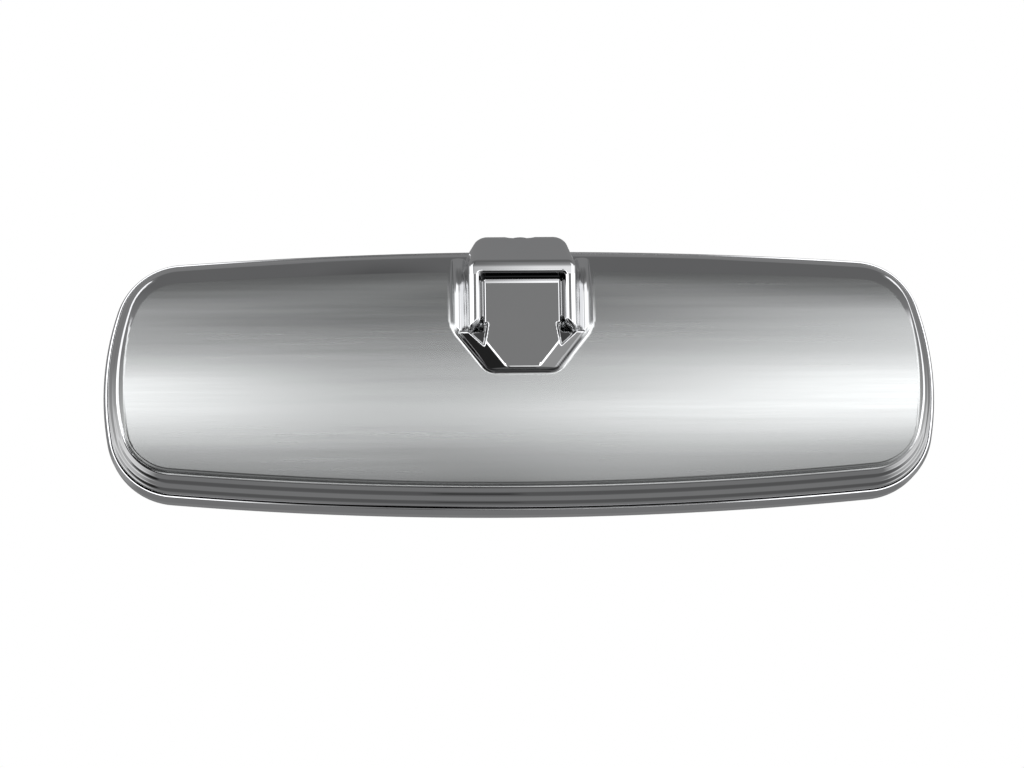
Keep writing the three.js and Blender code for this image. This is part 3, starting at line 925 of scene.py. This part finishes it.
glass = pane("mirror_pane", [
    (GLASS_INSET + 0.5, GLASS_FRONT),
    (GLASS_INSET + 0.12, GLASS_FRONT + 0.16),
    (GLASS_INSET, GLASS_FRONT + 0.45),
    (GLASS_INSET, -0.4),
    (GLASS_INSET + 0.15, -0.1),
    (GLASS_INSET + 0.4, 0.0),
])
glass.data.materials.append(silvered_glass())
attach(glass, "head")
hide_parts("mirror_glass")

# ---- backing board and foam -----------------------------------------------------------------------
# A board of pressed fibre covers the silvering. Two pads of grey open foam, cut from sheet and squeezed
# between the board and the back, press the glass forward against the lip of the bezel.


def dress(material, *names):
    """Gives CAD nodes a material."""
    for name in names:
        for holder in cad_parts[name].material_slots:
            holder.link = "OBJECT"
            holder.material = material


def fibre_board():
    """Brown board with long fibres showing in a blotched ground."""
    material, nodes = new_material("fibre_board")
    fibre = nodes.noise(nodes.spot((60.0, 900.0, 420.0)), 1.0, 4.0, 0.65)
    blotch = nodes.noise(nodes.spot(), 70.0, 3.0, 0.5)
    pale = nodes.mix(blotch.within(0.3, 0.7), (0.36, 0.27, 0.19, 1), (0.28, 0.2, 0.13, 1))
    nodes.surface(
        Base_Color=nodes.mix(fibre.within(0.35, 0.7), (0.2, 0.14, 0.09, 1), pale),
        Roughness=0.75 + 0.15 * fibre,
        Normal=nodes.bump(fibre, 0.5, 0.0001),
    )
    return material


def foam():
    """Grey foam, with its open cells as pits, painted dark as the shade inside them."""
    material, nodes = new_material("grey_foam")
    cells = nodes.add("ShaderNodeTexVoronoi", {"feature": "F1"}, {"Vector": nodes.spot(), "Scale": 1500.0})
    shade = nodes.noise(nodes.spot(), 90.0, 2.0, 0.5)
    tint = nodes.mix(shade.within(0.3, 0.7), (0.17, 0.18, 0.195, 1), (0.23, 0.235, 0.25, 1))
    nodes.surface(
        # The pits of the cells are painted dark: painted shade.
        Base_Color=nodes.mix(cells.within(0.15, 0.5), tint, (0.07, 0.072, 0.08, 1)),
        Roughness=0.88 + 0.1 * shade,
        Normal=nodes.bump(1.0 - cells, 0.8, 0.0003),
    )
    return material


PAD_EDGE = 0.0022
PAD_BULGE = 0.035


def foam_pad(name, node):
    """A cut block of foam with round edges, whose faces are fuller in the middle than at the corners."""
    low, high = (np.array(corner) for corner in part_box(node))
    middle, half = (low + high) / 2, (high - low) / 2
    shape = bmesh.new()
    bmesh.ops.create_cube(shape, size=2.0)
    bmesh.ops.subdivide_edges(shape, edges=shape.edges, cuts=15, use_grid_fill=True)
    for vertex in shape.verts:
        spot = np.array(vertex.co)
        bulge = 1.0 - PAD_BULGE * np.array([
            spot[1] ** 2 + spot[2] ** 2,
            spot[0] ** 2 + spot[2] ** 2,
            spot[0] ** 2 + spot[1] ** 2,
        ])
        wanted = spot * half
        core = np.clip(wanted, -(half - PAD_EDGE), half - PAD_EDGE)
        out = wanted - core
        length = np.linalg.norm(out)
        if length > 0:
            wanted = core + out / length * PAD_EDGE
        vertex.co = Vector(middle + wanted * bulge)
    for face in shape.faces:
        face.smooth = True
    mesh = bpy.data.meshes.new(name)
    shape.to_mesh(mesh)
    shape.free()
    thing = bpy.data.objects.new(name, mesh)
    bpy.context.scene.collection.objects.link(thing)
    return thing


dress(fibre_board(), "backing_board")
grey_foam = foam()
for side in ("left", "right"):
    pad = foam_pad("foam_block_" + side, "foam_pad_" + side)
    pad.data.materials.append(grey_foam)
    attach(pad, "head")
    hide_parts("foam_pad_" + side)

# ---- clips and spring washers ---------------------------------------------------------------------
# Six clips of blued spring steel grip the skirt of the back inside the bezel, and a split washer of the
# same steel sits under each nut. The oil that they were blued in leaves them brown to dark blue.


def blued_steel():
    """Temper colours from brown to blue, with bare steel where the scale has worn off."""
    material, nodes = new_material("spring_steel")
    temper = nodes.noise(nodes.spot(), 210.0, 3.0, 0.55)
    scale = nodes.noise(nodes.spot(), 1500.0, 3.0, 0.6)
    colour = nodes.mix(temper.within(0.35, 0.65), (0.1, 0.12, 0.2, 1), (0.24, 0.18, 0.15, 1))
    nodes.surface(
        Base_Color=nodes.mix(scale.within(0.5, 0.8), colour, (0.36, 0.37, 0.4, 1)),
        Metallic=1.0,
        Roughness=0.28 + 0.2 * scale,
        Normal=nodes.bump(scale, 0.1, 0.00003),
    )
    return material


spring_steel = blued_steel()
dress(spring_steel, *["bezel_clip_%d" % number for number in range(1, 7)])
dress(spring_steel, *["spring_washer_%d" % number for number in range(1, 5)])

# ---- carrier bracket and socket plates ------------------------------------------------------------
# The bracket that is spot-welded inside the back, and the two plates that clamp the ball, are pressed
# from mild steel, zinc plated and passivated, which gives the mottled straw colour.


def passivated_zinc():
    """Zinc with a mottled straw tint, and paler crystals in it."""
    material, nodes = new_material("zinc_steel")
    mottle = nodes.noise(nodes.spot(), 130.0, 4.0, 0.6)
    spangle = nodes.noise(nodes.spot(), 900.0, 2.0, 0.5)
    straw = nodes.mix(mottle.within(0.35, 0.65), (0.62, 0.6, 0.52, 1), (0.66, 0.56, 0.36, 1))
    nodes.surface(
        Base_Color=nodes.mix(spangle.within(0.55, 0.8), straw, (0.55, 0.58, 0.6, 1)),
        Metallic=1.0,
        Roughness=0.3 + 0.18 * mottle,
        Normal=nodes.bump(spangle, 0.12, 0.00004),
    )
    return material


dress(passivated_zinc(), "carrier_bracket", "socket_plate_rear", "socket_plate_front")

# ---- screws and nuts ------------------------------------------------------------------------------
# Four M3 screws and nuts, bright zinc plated, draw the plates together on the ball. Their faces show
# the fine turning marks of the bar that they were made from.


def bright_zinc():
    """Bright plating over turning marks, a little tarnished."""
    material, nodes = new_material("plated_fasteners")
    turning = nodes.noise(nodes.spot((500.0, 3500.0, 500.0)), 1.0, 2.0, 0.5)
    tarnish = nodes.noise(nodes.spot(), 340.0, 3.0, 0.6)
    nodes.surface(
        Base_Color=nodes.mix(tarnish.within(0.45, 0.75), (0.71, 0.72, 0.74, 1), (0.52, 0.53, 0.55, 1)),
        Metallic=1.0,
        Roughness=0.18 + 0.16 * turning,
        Normal=nodes.bump(turning, 0.1, 0.00003),
    )
    return material


plated_fasteners = bright_zinc()
dress(plated_fasteners, *["clamp_screw_%d" % number for number in range(1, 5)])
dress(plated_fasteners, *["clamp_nut_%d" % number for number in range(1, 5)])

# ---- friction pads --------------------------------------------------------------------------------
# Two moulded cups of natural nylon hold the ball between the plates, so that the head turns smoothly
# and stays where it is put.


def nylon():
    """Cloudy, cream-white nylon with a fine grain."""
    material, nodes = new_material("white_nylon")
    cloud = nodes.noise(nodes.spot(), 170.0, 3.0, 0.5)
    grain = nodes.noise(nodes.spot(), 1900.0, 2.0, 0.5)
    nodes.surface(
        Base_Color=nodes.mix(cloud.within(0.3, 0.7), (0.82, 0.79, 0.7, 1), (0.74, 0.7, 0.6, 1)),
        Roughness=0.38 + 0.14 * grain,
        Normal=nodes.bump(grain, 0.15, 0.00004),
    )
    return material


dress(nylon(), "pressure_pad_rear", "pressure_pad_front")

# ---- ball stud and dust cap -----------------------------------------------------------------------
# The stud is turned in one piece with its ball and plated. Its M5 thread stands out of the slot, ready
# for the arm, and a domed rubber cap with a rolled lip rides on the stud and keeps dust out of the slot.

stud_low, stud_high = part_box("ball_stud")
STUD_Y = (stud_low[1] + stud_high[1]) / 2
BALL_RADIUS = 5.0
BALL_Z = stud_low[2] + BALL_RADIUS * MM
STUD_TOP = (stud_high[2] - BALL_Z) / MM
NECK_RADIUS = 2.2
NECK_TOP = 6.1
SHANK_RADIUS = 2.5
THREAD_START = 6.6
THREAD_PITCH = 0.8
THREAD_DEPTH = 0.43
LATHE_STEPS = 64


def lathe(name, profile, thread=None):
    """Points (radius, height) above the ball's centre, in millimetres, turned about the stud.

    With a thread, a groove's depth at each height and turn, the last ring is closed by a flat end.
    Without one, the profile is a closed section, as a ring has.
    """
    points = []
    for radius, height in profile:
        for step in range(LATHE_STEPS):
            turn = 2 * math.pi * step / LATHE_STEPS
            depth = thread(height, turn) if thread else 0.0
            points.append((
                (radius - depth) * math.cos(turn) * MM,
                STUD_Y + (radius - depth) * math.sin(turn) * MM,
                BALL_Z + height * MM,
            ))
    faces = tube_faces(len(profile), LATHE_STEPS, closed=thread is None)
    if thread:
        faces.append(tuple(range(len(points) - LATHE_STEPS, len(points))))
    thing = mesh_object(name, points, faces)
    soften(thing, 38)
    return thing


def groove(height, turn):
    """Depth of the thread, which fades in above the neck and out at the end of the stud."""
    full = share(height, THREAD_START, THREAD_START + 0.5) * share(height, STUD_TOP - 0.15, STUD_TOP - 0.65)
    phase = (height / THREAD_PITCH - turn / (2 * math.pi)) % 1.0
    return THREAD_DEPTH * full * (1.0 - abs(2.0 * phase - 1.0))


def stud_profile():
    """Ball, neck and shank from the bottom up, with a chamfer at the flat end."""
    neck = math.asin(NECK_RADIUS / BALL_RADIUS)
    profile = []
    for turn in np.linspace(math.pi - 0.001, neck, 40):
        profile.append((BALL_RADIUS * math.sin(turn), BALL_RADIUS * math.cos(turn)))
    neck_low = profile[-1][1]
    for part in np.linspace(0.2, 1.0, 6):
        profile.append((NECK_RADIUS, neck_low + (NECK_TOP - neck_low) * part))
    for height in np.arange(THREAD_START, STUD_TOP - 0.3, THREAD_PITCH / 10):
        profile.append((SHANK_RADIUS, height))
    profile += [
        (SHANK_RADIUS - 0.05, STUD_TOP - 0.27),
        (SHANK_RADIUS - 0.32, STUD_TOP),
        (0.6, STUD_TOP),
    ]
    return profile


stud = lathe("ball_stud_turned", stud_profile(), groove)
stud.data.materials.append(chrome("stud_plating", (0.7, 0.71, 0.73, 1), 0.12))
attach(stud, "stud")
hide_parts("ball_stud")


CAP_INNER_RADIUS = 8.32
CAP_OUTER_RADIUS = 8.88
CAP_HOLE = SHANK_RADIUS + 0.3
CAP_SPREAD = 32.4


def cap_profile():
    """Section of the dome: its outside down to the rim, the rolled rim, and its inside up to the hole."""
    start = math.degrees(math.asin((CAP_HOLE + 0.25) / CAP_OUTER_RADIUS))
    middle = (CAP_INNER_RADIUS + CAP_OUTER_RADIUS) / 2
    profile = []
    for turn in np.radians(np.linspace(start, CAP_SPREAD, 18)):
        profile.append((CAP_OUTER_RADIUS * math.sin(turn), CAP_OUTER_RADIUS * math.cos(turn)))
    for bend in np.radians(np.linspace(70, -70, 6)):
        turn = math.radians(CAP_SPREAD) + math.cos(bend) * 0.26 / middle
        reach = middle + math.sin(bend) * 0.28
        profile.append((reach * math.sin(turn), reach * math.cos(turn)))
    for turn in np.radians(np.linspace(CAP_SPREAD, start, 18)):
        profile.append((CAP_INNER_RADIUS * math.sin(turn), CAP_INNER_RADIUS * math.cos(turn)))
    profile.append((CAP_HOLE, math.sqrt(middle**2 - CAP_HOLE**2)))
    return profile


cap = lathe("dust_cap_moulding", cap_profile())
cap.data.materials.append(black_rubber)
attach(cap, "stud")
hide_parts("dust_cap")

# ---- floor, light and camera ----------------------------------------------------------------------
# The head hangs in a white studio, of which the steel shows what lies behind the camera: a bright band
# at eye level, softboxes to both sides, grey walls overhead and behind, and a dark floor. Two low lamps
# stand behind, black and grey screens in front, and a dim stripe down the middle is the camera's stand.

GREY_TOP = 0.24
STRIPE_TURN = -0.6


def studio():
    """The surroundings, as a brightness for each direction. The camera itself sees plain white."""
    world = bpy.data.worlds.new("studio")
    world.use_nodes = True
    nodes = Nodes(world.node_tree)
    direction = nodes.add("ShaderNodeTexCoord", out="Generated")
    across = nodes.add("ShaderNodeSeparateXYZ", None, {0: direction})
    parts = across.socket.node.outputs
    toward = Wire(nodes.tree, parts["Y"]) * -1.0
    rise = Wire(nodes.tree, parts["Z"]).maths("ARCSINE") * (180 / math.pi)
    turn = across.maths("ARCTAN2", toward) * (180 / math.pi)

    # Brightness at each rise in degrees, in front of the bright back and behind it.
    ahead = [
        (-90, 0.12), (-58, 0.10), (-45, 0.16), (-27, 0.60), (-17, 0.62), (-6, 1.15), (4, 2.3), (13, 2.2),
        (20, 0.80), (27, 0.39), (37, 0.26), (48, 0.22), (60, 0.15), (75, 0.15), (90, 0.23),
    ]
    behind = [(-90, 0.12), (-76, 0.14), (-62, 0.20), (90, GREY_TOP)]
    fronts, backs = [
        nodes.add("ShaderNodeValToRGB", {"stops": [
            ((angle + 90) / 180, (level, level, level * 1.01, 1)) for angle, level in levels
        ]}, {0: (rise + 90.0) / 180.0})
        for levels in (ahead, behind)
    ]

    def patch(low_turn, high_turn, low_rise, high_rise, edge):
        """1 inside a rectangle of directions, falling to 0 outside it over an edge, in degrees."""
        width = turn.within(low_turn - edge, low_turn) * (1.0 - turn.within(high_turn, high_turn + edge))
        height = rise.within(low_rise - edge, low_rise) * (1.0 - rise.within(high_rise, high_rise + edge))
        return width * height

    def grey(level):
        """A colour without hue."""
        return (level, level, level, 1)

    softboxes = patch(15, 56, 10, 38, 8).most(patch(-56, -15, 10, 38, 8))
    light = nodes.mix(softboxes, fronts, (1.4, 1.4, 1.42, 1))
    light = nodes.mix(turn.maths("ABSOLUTE").within(70.0, 110.0), light, backs)
    rear_lamps = patch(-138, -112, -40, 0, 15).most(patch(112, 138, -40, 0, 15))
    light = nodes.mix(rear_lamps, light, grey(0.9))
    off_stripe = (turn - STRIPE_TURN).maths("ABSOLUTE").within(0.6, 3.2)
    stripe = 0.95 * (1.0 - off_stripe) * rise.within(-45.0, -30.0) * (1.0 - rise.within(50.0, 75.0))
    light = nodes.mix(stripe, light, grey(0.0))
    screens = [
        (patch(-1.5, 5.5, 5.5, 14.5, 1.5), GREY_TOP),
        (patch(-1.5, 5, -70, -36, 2), 0.01),
        (patch(-75, -12, -60, -2, 3), 0.02),
        (patch(15, 34, -34, -2, 4), 0.35),
    ]
    for screen, level in screens:
        light = nodes.mix(screen, light, grey(level))
    seen = nodes.add("ShaderNodeLightPath", out="Is Camera Ray")
    background = nodes.add("ShaderNodeBackground", None, {"Color": nodes.mix(seen, light, grey(1.0))})
    nodes.add("ShaderNodeOutputWorld", None, {"Surface": background})
    bpy.context.scene.world = world


studio()
bpy.context.scene.view_settings.view_transform = "Standard"


def floor_finish():
    """White floor paint, a little cloudy."""
    material, nodes = new_material("floor_paint")
    cloud = nodes.noise(nodes.spot(), 2.4, 4.0, 0.55)
    nodes.surface(
        Base_Color=nodes.mix(cloud.within(0.3, 0.7), (0.86, 0.86, 0.85, 1), (0.82, 0.82, 0.82, 1)),
        Roughness=0.6 + 0.15 * cloud,
    )
    return material


FLOOR_Z = -0.34
FLOOR_REACH = 4.0
floor_corners = [
    (x * FLOOR_REACH, y * FLOOR_REACH, FLOOR_Z)
    for x, y in ((-1, -1), (1, -1), (1, 1), (-1, 1))
]
floor = mesh_object("floor", floor_corners, [(0, 1, 2, 3)])
floor.data.materials.append(floor_finish())
floor.visible_glossy = False

lamp = bpy.data.lights.new("softbox", "AREA")
lamp.size = 2.4
lamp.energy = 70.0
softbox = bpy.data.objects.new("softbox", lamp)
softbox.location = (0.3, -0.5, 1.9)
softbox.rotation_euler = (math.radians(-12), math.radians(8), 0)
softbox.visible_glossy = False
bpy.context.scene.collection.objects.link(softbox)

# The camera looks up a little at the bright back. VIEW_WIDTH is what it takes in at the head's distance.
CAMERA_TURN = math.radians(-2.0)
CAMERA_RISE = math.radians(-11.0)
CAMERA_ROLL = math.radians(-0.8)
CAMERA_DISTANCE = 0.90
VIEW_WIDTH = 0.2787328
SENSOR_WIDTH = 36.0
camera_data = bpy.data.cameras.new("camera")
camera_data.sensor_width = SENSOR_WIDTH
camera_data.lens = SENSOR_WIDTH * CAMERA_DISTANCE / VIEW_WIDTH
camera = bpy.data.objects.new("camera", camera_data)
bpy.context.scene.collection.objects.link(camera)
back = Vector((
    math.sin(CAMERA_TURN) * math.cos(CAMERA_RISE),
    -math.cos(CAMERA_TURN) * math.cos(CAMERA_RISE),
    math.sin(CAMERA_RISE),
))
aim = Vector((-0.0022, RIM_Y, MIDDLE_Z))
camera.location = aim + back * CAMERA_DISTANCE
roll = Matrix.Rotation(CAMERA_ROLL, 3, "Z").to_quaternion()
camera.rotation_euler = (back.to_track_quat("Z", "Y") @ roll).to_euler()
bpy.context.scene.camera = camera
